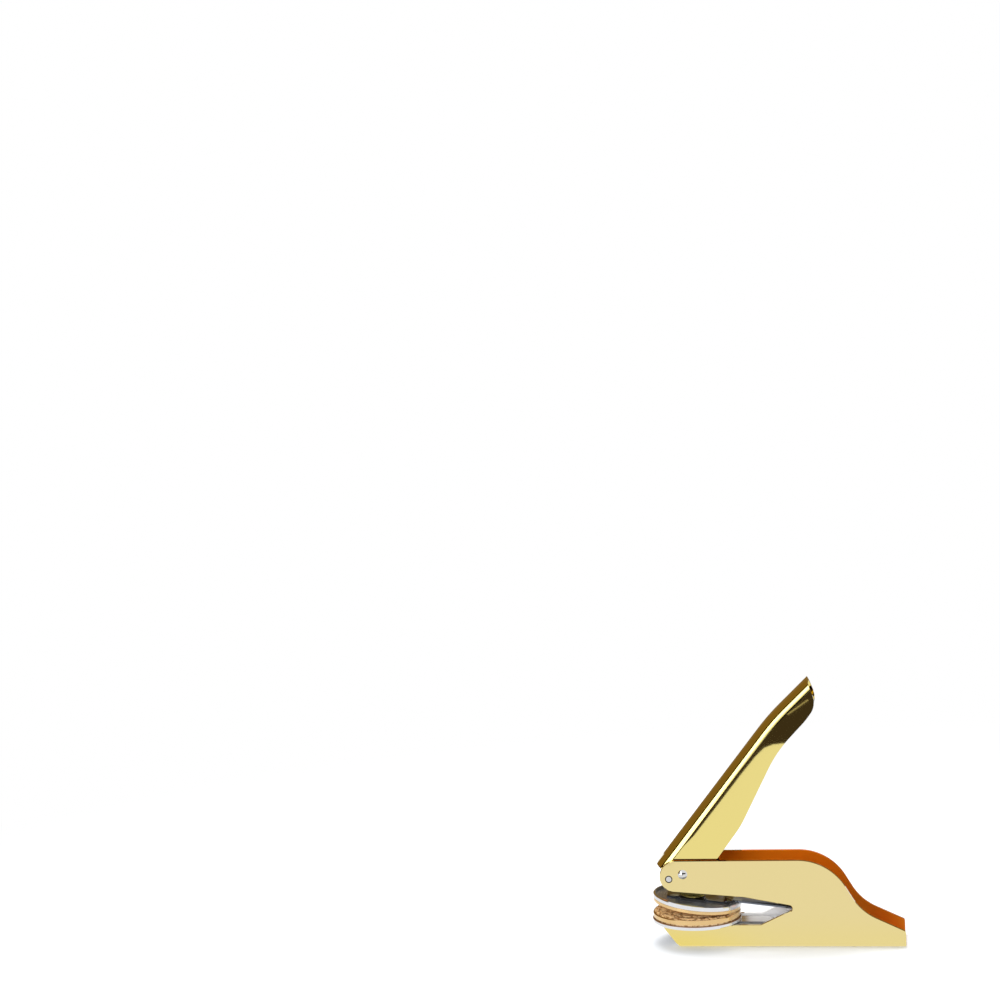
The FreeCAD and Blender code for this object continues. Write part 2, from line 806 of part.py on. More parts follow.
def make_cams():
    """Eccentric cheeks riveted inside the plates: they press the saddle as the lever comes down."""
    cheeks = []
    rivets = []
    flat = d.spine_high - d.lever_bend
    through = d.lever_width / 2 - cheek_inner
    for side, y, rivet_y in (
        ("near", -lever_inner / 2, -d.lever_width / 2),
        ("far", cheek_inner, cheek_inner),
    ):
        blank = cylinder(side + "_blank", d.cam_radius, d.cheek_thickness, cam_along, y, -cam_drop, True)
        low_x = cam_along - d.cam_radius
        above = box(side + "_above", d.cam_radius * 2, d.cheek_thickness, d.cam_radius, low_x, y, flat)
        eye_radius = d.pivot_radius + d.running_fit
        tools = [above, cylinder(side + "_pivot_eye", eye_radius, d.cheek_thickness, 0, y, 0, True)]
        for index, (x, z) in enumerate(cam_rivet_places()):
            name = f"{side}_cam_eye_{index}"
            tools.append(cylinder(name, d.cam_rivet_radius, d.cheek_thickness, x, y, z, True))
            thin = d.cam_rivet_radius - d.rivet_fit
            rivets.append(cylinder(f"{side}_cam_rivet_{index}", thin, through, x, rivet_y, z, True))
        cheeks.append(cut(side + "_cheek", blank, *tools))
    on_lever(node(group("cheeks", *cheeks), "cam_cheeks"))
    on_lever(node(group("cam_rivet_group", *rivets), "cam_rivets"))


# ---------------------------------------------------------------- cassette


def make_lower_holder():
    """Turned cup with the lower die, bedded on a thin disc."""
    inner = d.disc_radius - d.holder_wall
    body = new_body("lower_cup")
    place(body, disc_x, 0, cup_bottom)
    section = new_sketch(body, "lower_cup_section", "XZ_Plane")
    tall = d.lower_cup_height
    draw_outline(section, [(0, 0), (d.disc_radius, 0), (d.disc_radius, tall), (inner, tall),
                           (inner, d.lower_floor), (0, d.lower_floor)])
    revolve(body, section)
    soften(body, d.holder_chamfer, rim_picker(d.disc_radius.value), "lower_cup_edges", "Chamfer")
    holes = new_sketch(body, "lower_cup_holes", "XY_Plane")
    for x in (-d.lower_rivet_spacing / 2, d.lower_rivet_spacing / 2):
        draw_circle(holes, x, 0, d.leaf_rivet_radius)
    pocket(body, holes, d.lower_floor * 4)
    floor = cup_bottom + d.lower_floor
    node(cylinder("bedding", inner - d.die_fit, d.seat_thickness, disc_x, 0, floor), "lower_seat")
    die = new_body("lower_die")
    place(die, disc_x, 0, die_face)
    section = new_sketch(die, "lower_die_section", "XZ_Plane")
    plug = inner - d.die_fit
    plug_low = cup_bottom + d.lower_floor + d.seat_thickness - die_face
    depth = d.ring_height + d.ring_clearance
    outline = [(0, plug_low), (plug, plug_low), (plug, -d.lower_lip), (lip_radius, -d.lower_lip)]
    outline += [(lip_radius, -d.lip_chamfer), (lip_radius - d.lip_chamfer, 0)]
    for far, close in lower_grooves():
        outline += [(far, 0), (far, -depth), (close, -depth), (close, 0)]
    field = lip_radius - d.emblem_inset
    outline += [(field, 0), (field, -depth), (0, -depth)]
    draw_outline(section, outline)
    revolve(die, section)


def lower_grooves():
    """Outer and inner radius of each groove, from the rim inwards: they take the upper die's relief."""
    half = d.bead_row_width / 2
    grooves = [(bead_row_radius + half, bead_row_radius - half)]
    for radius in ring_radii:
        grooves.append((radius + d.ring_width + d.ring_clearance, radius - d.ring_clearance))
    return grooves


def rim_picker(radius):
    """Picks the circles of one radius, whatever their height."""

    def wanted(edge):
        return near(edge.BoundBox.XLength, radius * 2) and near(edge.BoundBox.YLength, radius * 2) \
            and near(edge.BoundBox.ZLength, 0)

    return wanted


def make_runners():
    """Two bars under the cup that keep the cassette straight between the walls of the jaw."""
    outside = d.inner_width / 2 - d.runner_clearance
    bars = [
        box(name, d.runner_length, d.runner_width, d.runner_height,
            disc_x - d.runner_length / 2, y, cup_bottom - d.runner_height)
        for name, y in (("near_runner", -outside), ("far_runner", outside - d.runner_width))
    ]
    node(group("runners", *bars), "cassette_runners")


def tilted(x, z):
    """A point of the tilted frame, as it stands when the press is open."""
    angle = math.radians(d.die_tilt.value)
    return V(
        hinge_x.value + x * math.cos(angle) + z * math.sin(angle),
        hinge_z.value - x * math.sin(angle) + z * math.cos(angle),
        0,
    )


def make_leaf_spring():
    """One strip bent to a narrow U: under the lower cup, round the bow, and over the rim into the dish."""
    strip = doc.addObject("PartDesign::Body", "strip_body")
    low = (rail_top + d.leaf_thickness / 2).value
    start = V((disc_x - d.leaf_reach).value, low, 0)
    back = -hinge_back.value
    rise = over_rim.value
    inside = (floor_top + d.leaf_thickness / 2).value
    upper = [
        tilted(back + d.joggle_end.value, rise),
        tilted(back + d.joggle_start.value, inside),
        tilted(back - d.leaf_reach.value, inside),
    ]
    slope = upper[0] - tilted(0, rise)
    bow_corner = upper[0] + slope * ((low - upper[0].y) / slope.y)
    route = new_sketch(strip, "leaf_route", "XZ_Plane")
    bend = d.joggle_bend.value
    route.addGeometry(rounded_path([start, bow_corner, *upper], [d.bow_radius.value, bend, bend]))
    section = new_sketch(strip, "leaf_section", "YZ_Plane", shift_out=disc_x - d.leaf_reach)
    wide = d.leaf_width / 2
    top = rail_top + d.leaf_thickness
    draw_outline(section, [(-wide, rail_top), (wide, rail_top), (wide, top), (-wide, top)])
    pipe = strip.newObject("PartDesign::AdditivePipe", "leaf_sweep")
    pipe.Profile = section
    pipe.Spine = route
    doc.recompute()
    apart = d.lower_rivet_spacing / 2
    under = rail_top - d.leaf_thickness / 2
    holes = [
        cylinder(name, d.leaf_rivet_radius, d.leaf_thickness * 2, disc_x + x, 0, under)
        for name, x in (("front_leaf_eye", -apart), ("rear_leaf_eye", apart))
    ]
    upper_eyes = group("upper_leaf_eyes", *[
        cylinder(f"upper_leaf_eye_{index}", d.leaf_rivet_radius, d.leaf_thickness * 2,
                 x, 0, floor_top - d.leaf_thickness / 2)
        for index, x in enumerate(upper_rivet_x())
    ])
    on_hinge(upper_eyes)
    node(cut("leaf", strip, *holes, upper_eyes), "leaf_spring")


def make_lower_leaf_rivets():
    long = d.leaf_thickness + d.lower_floor
    apart = d.lower_rivet_spacing / 2
    rivets = [
        cylinder(name, d.leaf_rivet_radius - d.rivet_fit, long, disc_x + x, 0, rail_top)
        for name, x in (("front_leaf_rivet", -apart), ("rear_leaf_rivet", apart))
    ]
    node(group("leaf_rivet_group", *rivets), "lower_leaf_rivets")


# ---------------------------------------------------------------- upper die


def saddle_x():
    return -hinge_back - d.saddle_forward


def upper_rivet_x():
    return [saddle_x() - d.upper_rivet_spacing / 2, saddle_x() + d.upper_rivet_spacing / 2]


def make_upper_holder():
    """Turned dish with the upper die bedded in its underside."""
    inner = d.disc_radius - d.holder_wall
    body = new_body("upper_cup")
    on_hinge(body)
    section = new_sketch(body, "upper_cup_section", "XZ_Plane", shift_x=-hinge_back)
    draw_outline(section, [(0, floor_low), (inner, floor_low), (inner, cup_low), (d.disc_radius, cup_low),
                           (d.disc_radius, rim_top), (inner, rim_top), (inner, floor_top), (0, floor_top)])
    revolve(body, section)
    soften(body, d.holder_chamfer, rim_picker(d.disc_radius.value), "upper_cup_edges", "Chamfer")
    holes = new_sketch(body, "upper_cup_holes", "XY_Plane")
    for x in upper_rivet_x():
        draw_circle(holes, x, 0, d.leaf_rivet_radius)
    pocket(body, holes, floor_top * 4)
    under = floor_low - d.seat_thickness
    seat = cylinder("upper_bedding", inner - d.die_fit, d.seat_thickness, -hinge_back, 0, under)
    on_hinge(node(group("upper_seat_group", seat), "upper_seat"))
    die = new_body("upper_die")
    on_hinge(die)
    section = new_sketch(die, "upper_die_section", "XZ_Plane", shift_x=-hinge_back)
    rings = []
    for radius in ring_radii:
        far = radius + d.ring_width
        rings += [(far, 0), (far, -d.ring_height), (radius, -d.ring_height), (radius, 0)]
    plug = inner - d.die_fit
    plug_top = cup_low + d.upper_plug
    outline = [(lip_radius, d.lip_chamfer), (lip_radius - d.lip_chamfer, 0)] + rings
    outline += [(0, 0), (0, plug_top), (plug, plug_top), (plug, cup_low), (lip_radius, cup_low)]
    draw_outline(section, outline)
    revolve(die, section)


def make_saddle():
    """Hardened block that straddles the upper leaf: the cams roll on its top."""
    body = new_body("pressure_saddle")
    on_hinge(body)
    section = new_sketch(body, "saddle_section", "YZ_Plane", shift_y=floor_top, shift_out=saddle_x())
    wide = d.saddle_width / 2
    groove = d.leaf_width / 2 + d.saddle_clearance
    leg = d.leaf_thickness
    draw_outline(section, [(-wide, 0), (-groove, 0), (-groove, leg), (groove, leg), (groove, 0), (wide, 0),
                           (wide, d.saddle_height), (-wide, d.saddle_height)])
    pad(body, section, d.saddle_length)
    holes = new_sketch(body, "saddle_holes", "XY_Plane")
    for x in upper_rivet_x():
        draw_circle(holes, x, 0, d.leaf_rivet_radius)
    pocket(body, holes, saddle_top * 4)
    thin = d.leaf_rivet_radius - d.rivet_fit
    rivets = [
        cylinder(f"saddle_rivet_{index}", thin, saddle_top - floor_low, x, 0, floor_low)
        for index, x in enumerate(upper_rivet_x())
    ]
    on_hinge(node(group("saddle_rivet_group", *rivets), "upper_leaf_rivets"))


make_frame_channel()
make_pivot()
make_stop_pins()
make_slide_rail()
make_rail_rivets()
make_detent()
make_lever()
make_cams()
make_lower_holder()
make_runners()
make_leaf_spring()
make_lower_leaf_rivets()
make_upper_holder()
make_saddle()
doc.recompute()

for item in doc.Objects:
    if {"Invalid", "Error"} & set(item.State):
        raise RuntimeError(f"{item.Name} failed: {item.State}")
for name, item in nodes.items():
    if item.Shape.isNull() or not item.Shape.isValid() or not item.Shape.Solids:
        raise RuntimeError(f"{name} has no valid shape")

os.makedirs("parts", exist_ok=True)
for name, item in nodes.items():
    item.Shape.exportStep(f"parts/{name}.step")
    print(f"{name}: {len(item.Shape.Solids)} solids, {item.Shape.Volume:.1f} mm3")
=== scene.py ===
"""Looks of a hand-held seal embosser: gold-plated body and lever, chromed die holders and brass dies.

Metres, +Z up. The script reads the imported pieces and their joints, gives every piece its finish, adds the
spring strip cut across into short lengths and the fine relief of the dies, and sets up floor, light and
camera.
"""

import json
import math

import bmesh
import bpy
from mathutils import Matrix, Vector


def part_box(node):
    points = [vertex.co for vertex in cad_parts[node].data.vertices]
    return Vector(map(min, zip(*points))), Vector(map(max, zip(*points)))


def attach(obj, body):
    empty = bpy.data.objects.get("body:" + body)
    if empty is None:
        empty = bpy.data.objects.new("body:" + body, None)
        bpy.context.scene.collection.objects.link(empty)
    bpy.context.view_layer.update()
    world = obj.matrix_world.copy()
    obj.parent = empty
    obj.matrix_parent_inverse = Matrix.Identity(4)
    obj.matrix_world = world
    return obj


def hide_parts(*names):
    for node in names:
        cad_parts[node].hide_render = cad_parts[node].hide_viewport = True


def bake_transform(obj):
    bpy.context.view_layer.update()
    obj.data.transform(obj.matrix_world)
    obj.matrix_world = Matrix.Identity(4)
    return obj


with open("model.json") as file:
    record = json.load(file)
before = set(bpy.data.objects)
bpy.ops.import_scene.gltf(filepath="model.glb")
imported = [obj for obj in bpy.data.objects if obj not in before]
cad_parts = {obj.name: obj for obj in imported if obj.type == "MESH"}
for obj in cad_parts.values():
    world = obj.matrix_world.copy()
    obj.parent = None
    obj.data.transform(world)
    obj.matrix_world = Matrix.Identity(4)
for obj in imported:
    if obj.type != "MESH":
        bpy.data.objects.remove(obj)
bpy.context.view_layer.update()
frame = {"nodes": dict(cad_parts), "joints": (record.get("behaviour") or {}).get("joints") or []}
nodes = frame["nodes"]

MM = 0.001
ORIGIN = Vector((0, 0, 0))
Z_AXIS = Vector((0, 0, 1))
BODY_SHEET = 2.5 * MM
HOLDER_WALL = 1.2 * MM

joint = {item["name"]: item for item in frame["joints"]}
hinge = Vector(joint["upper_die_tilt"]["pos_m"])
tilt = math.radians(joint["upper_die_tilt"]["range_deg"][1])
lift = Matrix.Translation(hinge) @ Matrix.Rotation(tilt, 4, "Y")

cup_low, cup_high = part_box("lower_cup")
disc_x = (cup_low.x + cup_high.x) / 2
disc_radius = (cup_high.x - cup_low.x) / 2
hinge_back = hinge.x - disc_x
face_gap = 0.2 * MM
lower_face = Vector((disc_x, 0, hinge.z - face_gap))
upper_disc = lift @ Matrix.Translation((-hinge_back, 0, 0))
channel_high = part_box("frame_channel")[1]
wall_inside = channel_high.y - BODY_SHEET
throat_top, throat_middle = 34 * MM, 16 * MM  # heights over the body's underside
pin_low, pin_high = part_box("stop_pins")
pin_spot = (pin_low + pin_high) / 2
pin_radius = (pin_high.x - pin_low.x) / 2

# height of the painted shade along the seam between the lower cup's lip and its die, to either side of the
# lip
seam_near, seam_far = 0.30 * MM, 0.45 * MM

# relief of the dies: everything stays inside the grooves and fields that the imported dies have
lip_radius = disc_radius - 0.35 * MM
dish_radius = disc_radius - HOLDER_WALL
bead_row_radius = lip_radius - 1.55 * MM
bead_groove = 1.3 * MM
bead_radius = 0.52 * MM
bead_height = 0.35 * MM
groove_depth = 0.6 * MM
pit_bar = 0.35 * MM
field_radius = lip_radius - 12.95 * MM
star_reach = 7.6 * MM
BEADS = 80
STAR_WAIST = 0.40

# tones of the finishes, each with the one that it wears to; the painted light and shade among them are marked
PALE_GOLD = (0.795, 0.67, 0.315)
PALE_GOLD_WORN = (0.80, 0.66, 0.32)
# painted reflection: deeper gold along the foot and at the toe, standing in for the floor mirrored in the
# wall
FOOT_PAINTED_REFLECTION = (0.81, 0.67, 0.245)
TOE_PAINTED_REFLECTION = (0.83, 0.67, 0.185)
DEEP_GOLD = (0.825, 0.70, 0.245)
DEEP_GOLD_WORN = (0.81, 0.68, 0.24)
# painted reflection: the orange that the gold walls take from mirroring each other, painted on the inner
# faces and redder towards the tail
COPPER_PAINTED_REFLECTION = (0.98, 0.26, 0.008)
COPPER_PAINTED_REFLECTION_WORN = (0.92, 0.30, 0.012)
TAIL_PAINTED_REFLECTION = (0.78, 0.27, 0.02)
# painted light: white paint low in the mouth, standing in for the brightness seen through the throat, with
# MOUTH_SHADE as painted shade above it
THROAT_PAINTED_LIGHT = (0.95, 0.95, 0.96)
MOUTH_SHADE = (0.06, 0.06, 0.055)
# painted shade: dark ring round each stop pin, standing in for the shadow in its countersink
PIN_RING_PAINTED_SHADE = (0.05, 0.04, 0.03)
CHROME = (0.86, 0.87, 0.89)
CHROME_WORN = (0.70, 0.71, 0.73)
CHROME_RING = (0.62, 0.63, 0.65)
# painted shade and painted reflection streaks inside the dish of each cup
DISH_PAINTED_SHADE = (0.24, 0.25, 0.26)
DISH_PAINTED_STREAKS = (0.52, 0.54, 0.56)
BRASS = (0.84, 0.61, 0.31)
BRASS_WORN = (0.74, 0.48, 0.21)
PATINA_LIGHT = (1.0, 0.76, 0.42)
PATINA_DARK = (0.38, 0.19, 0.065)
# painted shade along the seam between the lower cup's lip and its die
SEAM_PAINTED_SHADE = (0.20, 0.09, 0.035)
SPRING_BRIGHT = (0.84, 0.85, 0.87)
SPRING_BRIGHT_WORN = (0.70, 0.71, 0.73)
# painted shade: the upper run of the spring painted dark, standing in for the shade under the jaw
SPRING_PAINTED_SHADE = (0.20, 0.22, 0.26)
SPRING_PAINTED_SHADE_WORN = (0.11, 0.12, 0.14)


# ---------------------------------------------------------------- finishes


class Value:
    """A shader socket that sums can be written on: each operator adds its Math node."""

    def __init__(self, finish, socket):
        self.finish = finish
        self.socket = socket

    def math(self, operation, *operands):
        return self.finish.math(operation, *operands)

    def __add__(self, other):
        return self.math("ADD", self, other)

    def __radd__(self, other):
        return self.math("ADD", other, self)

    def __sub__(self, other):
        return self.math("SUBTRACT", self, other)

    def __rsub__(self, other):
        return self.math("SUBTRACT", other, self)

    def __mul__(self, other):
        return self.math("MULTIPLY", self, other)

    def __rmul__(self, other):
        return self.math("MULTIPLY", other, self)

    def __abs__(self):
        return self.math("ABSOLUTE", self)

    def __lt__(self, other):
        return self.math("LESS_THAN", self, other)

    def __gt__(self, other):
        return self.math("GREATER_THAN", self, other)


class Finish:
    """A material under construction, with the Object coordinates in metres at hand."""

    def __init__(self, name, color, metallic, roughness, **fixed):
        self.material = bpy.data.materials.new(name)
        self.material.use_nodes = True
        self.tree = self.material.node_tree
        self.shader = self.tree.nodes["Principled BSDF"]
        self.set("Base Color", (*color, 1))
        self.set("Metallic", metallic)
        self.set("Roughness", roughness)
        for socket, value in fixed.items():
            self.set(socket.replace("_", " ").title().replace("Ior", "IOR"), value)
        self.place = self.add("ShaderNodeTexCoord", {}, {}, "Object")

    def add(self, kind, settings, sockets, out=0):
        """Makes a node: its settings first, then the values or links of its sockets."""
        made = self.tree.nodes.new(kind)
        for key, value in settings.items():
            setattr(made, key, value)
        for key, value in sockets.items():
            self.feed(made.inputs[key], value)
        return Value(self, made.outputs[out])

    def feed(self, socket, value):
        if isinstance(value, Value):
            self.tree.links.new(value.socket, socket)
        else:
            socket.default_value = value

    def set(self, socket, value):
        self.feed(self.shader.inputs[socket], value)

    def axes(self):
        """The three Object coordinates."""
        parts = self.add("ShaderNodeSeparateXYZ", {}, {0: self.place})
        outputs = parts.socket.node.outputs
        return [Value(self, output) for output in outputs]

    def noise(self, scale, detail=3.0, stretch=(1, 1, 1), roughness=0.5):
        where = self.add("ShaderNodeMapping", {}, {"Vector": self.place, "Scale": stretch})
        sockets = {"Vector": where, "Scale": scale, "Detail": detail, "Roughness": roughness}
        return self.add("ShaderNodeTexNoise", {}, sockets, "Fac")

    def range(self, value, low, high, to_low, to_high):
        """Passes softly from one value to another between two places."""
        settings = {"interpolation_type": "SMOOTHSTEP"}
        return self.add("ShaderNodeMapRange", settings, {0: value, 1: low, 2: high, 3: to_low, 4: to_high})

    def mix(self, mask, first, second):
        """Blends two colours, plain or linked."""
        made = self.tree.nodes.new("ShaderNodeMix")
        made.data_type = "RGBA"
        self.feed(made.inputs["Factor"], mask)
        for key, color in ((6, first), (7, second)):
            self.feed(made.inputs[key], color if isinstance(color, Value) else (*color, 1))
        return Value(self, made.outputs[2])

    def radius(self, across, along):
        """Distance from an axis, from the two coordinates square to it."""
        return self.math("SQRT", across * across + along * along)

    def waves(self, value, pitch):
        """Even waves of 0 to 1 along a length."""
        return self.math("SINE", value * (math.tau / pitch)) * 0.5 + 0.5

    def math(self, operation, *operands):
        return self.add("ShaderNodeMath", {"operation": operation}, dict(enumerate(operands)))

    def bump(self, height, distance, strength=1.0):
        sockets = {"Height": height, "Distance": distance, "Strength": strength}
        self.set("Normal", self.add("ShaderNodeBump", {}, sockets))
        return self


def polishing(finish, roughness, spread):
    """Faint wipe marks and soft patches that every polished sheet has."""
    wipes = finish.noise(90, 4, (1.0, 1.0, 0.25), 0.6)
    patches = finish.noise(26, 2)
    finish.set("Roughness", wipes * spread + patches * spread + (roughness - spread))
    return finish


def body_outside(finish):
    """Pale gold, deeper along the foot and at the toe as painted reflection of the floor, with painted shade
    as a dark ring round each stop pin.
    """
    x, y, z = finish.axes()
    foot, toe_rise, toe_end = 20 * MM, 16 * MM, -56 * MM
    ring_width, ring_depth = 0.55 * MM, 0.1 * MM
    color = finish.mix(finish.noise(18, 2), PALE_GOLD, PALE_GOLD_WORN)
    # painted reflection of the floor, deeper towards the foot and the toe
    color = finish.mix(finish.range(z, 0.0, foot, 0.5, 0), color, FOOT_PAINTED_REFLECTION)
    toe = finish.range(z, 0.0, toe_rise, 1, 0) * finish.range(x, toe_end, 0.0, 1, 0)
    color = finish.mix(toe, color, TOE_PAINTED_REFLECTION)
    # painted shade of the countersink round each stop pin
    pin = finish.radius(x - pin_spot.x, z - pin_spot.z) < pin_radius + ring_width
    return finish.mix(pin * (abs(y) < channel_high.y - ring_depth), color, PIN_RING_PAINTED_SHADE)


def between_walls(finish):
    """Mask of the faces inside the channel and of the cut edges of the wall at +Y, which carry the painted
    reflection and light of the inside.
    """
    x, y, z = finish.axes()
    underside, bend_top, edge_start = 0.6 * MM, 6 * MM, -20 * MM
    fade_start, fade_end, outer_skin = 0.05 * MM, 0.3 * MM, 0.35 * MM
    inner = finish.range(abs(y), wall_inside + fade_start, wall_inside + fade_end, 1, 0) * (z > underside)
    cut_edge = (y > 0) * (y < channel_high.y - outer_skin) * (z > bend_top) * (x > edge_start)
    return finish.math("MAXIMUM", inner, cut_edge)


def body_gold():
    """Pale gold plate outside; between the walls a duller orange, painted reflection of the walls mirroring
    each other; low in the mouth painted light, white and dulled, with painted shade at its top.
    """
    finish = Finish("body_gold", PALE_GOLD, 1.0, 0.12)
    x, y, z = finish.axes()
    jaw_fade, jaw_start, jaw_end = 6 * MM, 8 * MM, 20 * MM
    shade_start, shade_end = throat_middle - 1 * MM, throat_middle + 3 * MM
    tail_start, tail_end = 22 * MM, 44 * MM
    dulling, polish, inside_roughness = 0.85, 0.04, 0.5
    inner = between_walls(finish)
    jaw = finish.range(z, throat_top - jaw_fade, throat_top, 1, 0) * finish.range(x, jaw_start, jaw_end, 1, 0)
    shade = finish.range(z, shade_start, shade_end, 0, 1) * (y > 0)
    # painted reflection of the walls in each other, redder towards the tail
    painted_interreflection = finish.mix(finish.noise(30, 3), COPPER_PAINTED_REFLECTION, COPPER_PAINTED_REFLECTION_WORN)
    painted_interreflection = finish.mix(finish.range(x, tail_start, tail_end, 0, 1), painted_interreflection, TAIL_PAINTED_REFLECTION)
    # painted light low in the mouth, painted shade at its top
    inside = finish.mix(jaw, painted_interreflection, finish.mix(shade, THROAT_PAINTED_LIGHT, MOUTH_SHADE))
    finish.set("Base Color", finish.mix(inner, body_outside(finish), inside))
    # the painted light in the mouth loses most of its mirror, so that the fill lamp lights it
    finish.set("Metallic", 1 - inner * jaw * (1 - shade) * dulling)
    wipes = finish.noise(90, 4, (1.0, 1.0, 0.25), 0.6)
    finish.set("Roughness", wipes * 0.03 + polish + inner * inside_roughness)
    return finish.material


def lever_gold():
    """The lever's deeper and brighter gold plate."""
    finish = Finish("lever_gold", DEEP_GOLD, 1.0, 0.1)
    finish.set("Base Color", finish.mix(finish.noise(18, 2), DEEP_GOLD, DEEP_GOLD_WORN))
    return polishing(finish, 0.02, 0.006).material


def rear_end(finish, x):
    """Mask of the end of a disc that faces the throat, where its side is duller."""
    start, end = disc_x + 0.70 * disc_radius, disc_x + 0.86 * disc_radius
    return finish.range(x, start, end, 0, 1)


def dish_painted_shade_and_streaks(finish, radius):
    """Painted shade over the dish, crossed by light rings of painted reflection streaks, broken up in
    patches.
    """
    pitch, wander = 1.5 * MM, 1.2 * MM
    rings = finish.waves(radius + finish.noise(60, 2) * wander, pitch)
    kept = finish.range(finish.noise(110, 3), 0.40, 0.62, 0, 1)
    return finish.mix(rings * kept, DISH_PAINTED_SHADE, DISH_PAINTED_STREAKS)


def holder_chrome():
    """Bright chrome rims with faint turned rings, a dull dish in painted shade with painted reflection
    streaks, and painted shade along the seam at the lower cup's lip.
    """
    finish = Finish("holder_chrome", (0.80, 0.81, 0.83), 1.0, 0.05)
    x, y, z = finish.axes()
    ring_pitch, dish_fade, dish_edge = 0.35 * MM, 0.6 * MM, 0.1 * MM
    radius = finish.radius(x - disc_x, y)
    tone = finish.noise(160, 4, roughness=0.7)
    rim = finish.mix(tone, CHROME, CHROME_WORN)
    rim = finish.mix(finish.waves(radius, ring_pitch) * 0.15, rim, CHROME_RING)
    dish = finish.range(radius, dish_radius - dish_fade, dish_radius - dish_edge, 1, 0)
    # painted shade along the seam at the top of the lower cup's lip
    lip = finish.range(z, cup_high.z - seam_far, cup_high.z - seam_near, 0, 1) * (z < cup_high.z + seam_near)
    rim = finish.mix(lip * (1 - dish), rim, SEAM_PAINTED_SHADE)
    # the dish gets painted shade with painted reflection streaks
    finish.set("Base Color", finish.mix(dish, rim, dish_painted_shade_and_streaks(finish, radius)))
    dulled = dish * 0.25 + rear_end(finish, x) * 0.5
    finish.set("Metallic", 1 - finish.math("MAXIMUM", dulled, lip * 0.8))
    finish.set("Roughness", tone * 0.02 + 0.05 + dish * 0.2)
    return finish.bump(finish.noise(420, 2), 0.02 * MM, 0.5).material


def die_brass():
    """Bright turned rims, brown patina in the engraved faces and painted shade along the seam over the lower
    cup.
    """
    finish = Finish("die_brass", (0.80, 0.56, 0.27), 1.0, 0.2)
    x, y, z = finish.axes()
    face_start, face_end = lip_radius - 1.0 * MM, lip_radius - 0.5 * MM
    face = finish.range(finish.radius(x - disc_x, y), face_start, face_end, 1, 0)
    bright = finish.mix(finish.noise(140, 4), BRASS, BRASS_WORN)
    marks = finish.range(finish.noise(520, 3, roughness=0.6), 0.48, 0.56, 0, 1)
    color = finish.mix(face, bright, finish.mix(marks, PATINA_LIGHT, PATINA_DARK))
    # painted shade along the seam at the foot of the lower die
    seam = finish.range(z, cup_high.z + seam_near, cup_high.z + seam_far, 1, 0) * (1 - face)
    finish.set("Base Color", finish.mix(seam, color, SEAM_PAINTED_SHADE))
    dulled = finish.math("MAXIMUM", face * 0.8, rear_end(finish, x) * 0.7)
    finish.set("Metallic", 1 - finish.math("MAXIMUM", dulled, seam * 0.8))
    finish.set("Roughness", finish.noise(220, 3) * 0.10 + 0.14 + face * 0.2)
    return finish.material


def steel(name, color, roughness, grain=(1, 1, 1)):
    """Steel with its rolling or turning grain."""
    finish = Finish(name, color, 1.0, roughness)
    lines = finish.noise(300, 3, grain)
    finish.set("Base Color", finish.mix(lines, color, tuple(part * 0.82 for part in color)))
    return polishing(finish, roughness, 0.04).material


def spring_strip():
    """Spring steel, bright along the lower run and painted darker on the upper one, as painted shade under
    the jaw.
    """
    finish = Finish("spring_steel", SPRING_BRIGHT, 1.0, 0.14)
    height = finish.axes()[2]
    spring_shade_start, spring_shade_end = 13 * MM, 18 * MM
    lines = finish.noise(300, 3, (0.05, 1, 1))
    bright = finish.mix(lines, SPRING_BRIGHT, SPRING_BRIGHT_WORN)
    spring_shade = finish.mix(lines, SPRING_PAINTED_SHADE, SPRING_PAINTED_SHADE_WORN)
    # the upper run is painted dark as painted shade
    finish.set("Base Color", finish.mix(finish.range(height, spring_shade_start, spring_shade_end, 0, 1), bright, spring_shade))
    return polishing(finish, 0.14, 0.04).material


def cam_painted_shade():
    """Hardened steel painted dark, as painted shade of the mouth for the dish to mirror, with brighter
    flecks.
    """
    finish = Finish("cam_steel", (0.2, 0.2, 0.21), 1.0, 0.25)
    flecks = finish.range(finish.noise(420, 4, (0.5, 1, 1), 0.7), 0.50, 0.62, 0, 1)
    # dark base as painted shade, so that the dish mirrors shade from the mouth
    finish.set("Base Color", finish.mix(flecks, (0.12, 0.12, 0.12), (0.62, 0.62, 0.60)))
    finish.set("Roughness", flecks * -0.12 + 0.30)
    return finish.material


def bedding():
    """Thin rubberised cork under the dies."""
    finish = Finish("bedding", (0.10, 0.085, 0.07), 0.0, 0.8)
    grains = finish.noise(900, 3)
    finish.set("Base Color", finish.mix(grains, (0.14, 0.11, 0.09), (0.06, 0.05, 0.045)))
    return finish.bump(grains, 0.1 * MM, 0.6).material


FINISHES = {
    "body_gold": body_gold(),
    "lever_gold": lever_gold(),
    "holder_chrome": holder_chrome(),
    "die_brass": die_brass(),
    "polished_steel": steel("polished_steel", (0.74, 0.74, 0.73), 0.08),
    "plain_steel": steel("plain_steel", (0.56, 0.56, 0.55), 0.28),
    "zinc_steel": steel("zinc_steel", (0.86, 0.87, 0.89), 0.22, (0.1, 1, 1)),
    "spring_steel": spring_strip(),
    "cam_steel": cam_painted_shade(),
    "bedding": bedding(),
}


def dress_nodes():
    """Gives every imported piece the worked-out finish of its slot."""
    for thing in nodes.values():
        for place in thing.material_slots:
            place.material = FINISHES[place.material.name.split(".")[0]]


